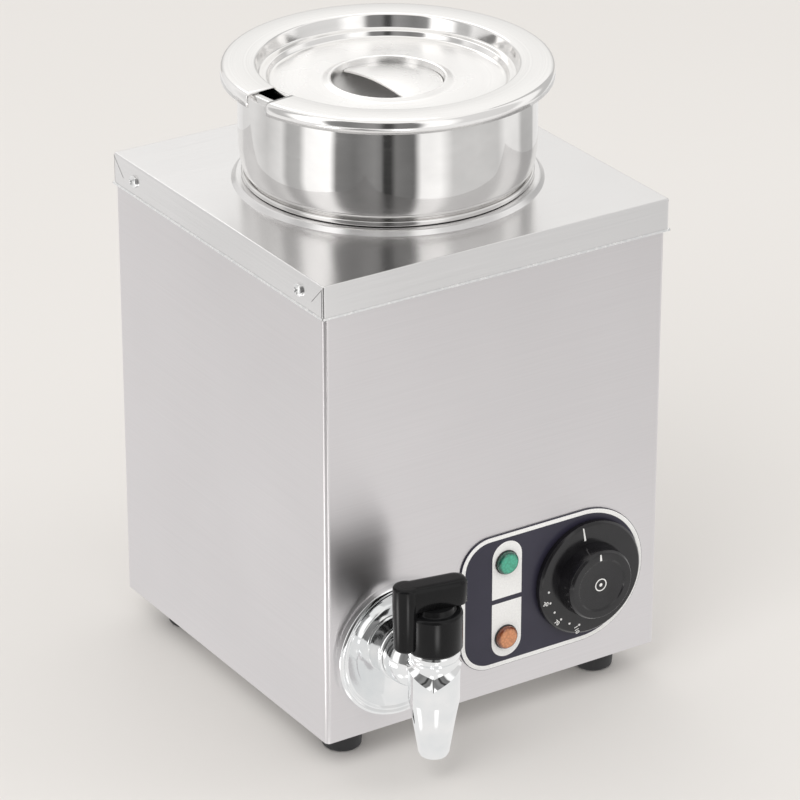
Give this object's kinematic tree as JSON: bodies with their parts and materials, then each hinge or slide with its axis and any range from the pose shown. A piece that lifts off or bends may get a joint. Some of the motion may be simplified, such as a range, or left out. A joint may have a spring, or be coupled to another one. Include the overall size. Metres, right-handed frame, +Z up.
{
  "type": "bain marie",
  "caption": "Countertop bain marie: square steel housing, round lidded pot in a water bath, drain tap and dial thermostat at the front.",
  "frame": {"origin": "on the table, under the middle of the whole footprint", "axes": "+Z up, -Y towards the front with the tap and the dial, +X to the right seen from the front"},
  "size_m": [0.2478, 0.318, 0.394],
  "materials": {
    "steel_satin": "brushed stainless sheet",
    "steel_polished": "mirror polished stainless sheet",
    "steel_bright": "bright zinc and stainless fixings",
    "tap_chrome": "bright chrome plate on brass",
    "rubber_black": "matt black rubber",
    "handle_black": "glossy black moulded plastic",
    "dial_black": "satin black moulded plastic",
    "plastic_black": "black moulded plastic",
    "plate_dark": "aluminium plate, printed dark grey with a white border",
    "lens_green": "translucent green plastic",
    "lens_orange": "translucent orange plastic",
    "element_sheath": "dull heat-tinted steel sheath",
    "brass": "plain brass",
    "fibre": "red fibre washer",
    "ceramic": "off-white moulding",
    "copper": "plain copper",
    "wire_brown": "brown wire insulation",
    "wire_blue": "blue wire insulation"
  },
  "bodies": {
    "housing": {"casing_wrap": "steel_satin", "back_panel": "steel_satin", "back_panel_screws": "steel_bright", "deck_cap": "steel_satin", "deck_screws": "steel_bright", "base_pan": "steel_satin", "base_screws": "steel_bright", "foot_front_left": "rubber_black", "foot_front_right": "rubber_black", "foot_rear_left": "rubber_black", "foot_rear_right": "rubber_black", "foot_screws": "steel_bright", "foot_nuts": "steel_bright", "water_well": "steel_polished", "heating_element": "element_sheath", "element_nuts": "brass", "element_gaskets": "fibre", "drain_spud": "brass", "drain_gasket": "fibre", "drain_locknut": "brass", "drain_pipe": "steel_polished", "drain_union_nuts": "brass", "tap_escutcheon": "tap_chrome", "tap_ring_nut": "tap_chrome", "tap_washer": "rubber_black", "tap_locknut": "brass", "tap_body": "tap_chrome", "control_plate": "plate_dark", "power_lamp_body": "plastic_black", "power_lamp_lens": "lens_green", "heat_lamp_body": "plastic_black", "heat_lamp_lens": "lens_orange", "lamp_nuts": "plastic_black", "thermostat_body": "ceramic", "thermostat_screws": "steel_bright", "sensor_bulb": "copper", "capillary_tube": "copper", "bulb_clips": "steel_bright", "gland_body": "plastic_black", "gland_dome_nut": "plastic_black", "gland_locknut": "plastic_black", "gland_seal": "rubber_black", "terminal_block": "ceramic", "terminal_screws": "brass", "earth_stud": "brass", "earth_nuts": "steel_bright", "wire_feed": "wire_brown", "wire_heater": "wire_brown", "wire_return": "wire_blue"},
    "pot": {"pot": "steel_polished"},
    "lid": {"lid_cover": "steel_polished", "lid_handle": "steel_polished"},
    "tap_turn": {"tap_handle": "handle_black", "tap_plug": "brass"},
    "dial": {"dial_skirt": "dial_black", "thermostat_knob": "dial_black", "thermostat_shaft": "steel_bright"}
  },
  "joints": [
    {"name": "pot_lift", "type": "slide", "parent": "housing", "child": "pot", "axis": [0, 0, 1], "range_m": [0, 0.25]},
    {"name": "lid_lift", "type": "slide", "parent": "pot", "child": "lid", "axis": [0, 0, 1], "range_m": [0, 0.15]},
    {"name": "tap_turn", "type": "hinge", "parent": "housing", "child": "tap_turn", "pos_m": [-0.07, -0.142, 0.1], "axis": [0, 0, 1], "range_deg": [0, 90]},
    {"name": "dial_turn", "type": "hinge", "parent": "housing", "child": "dial", "pos_m": [0.0663, -0.102, 0.0826], "axis": [0, 1, 0], "range_deg": [0, 270]}
  ]
}
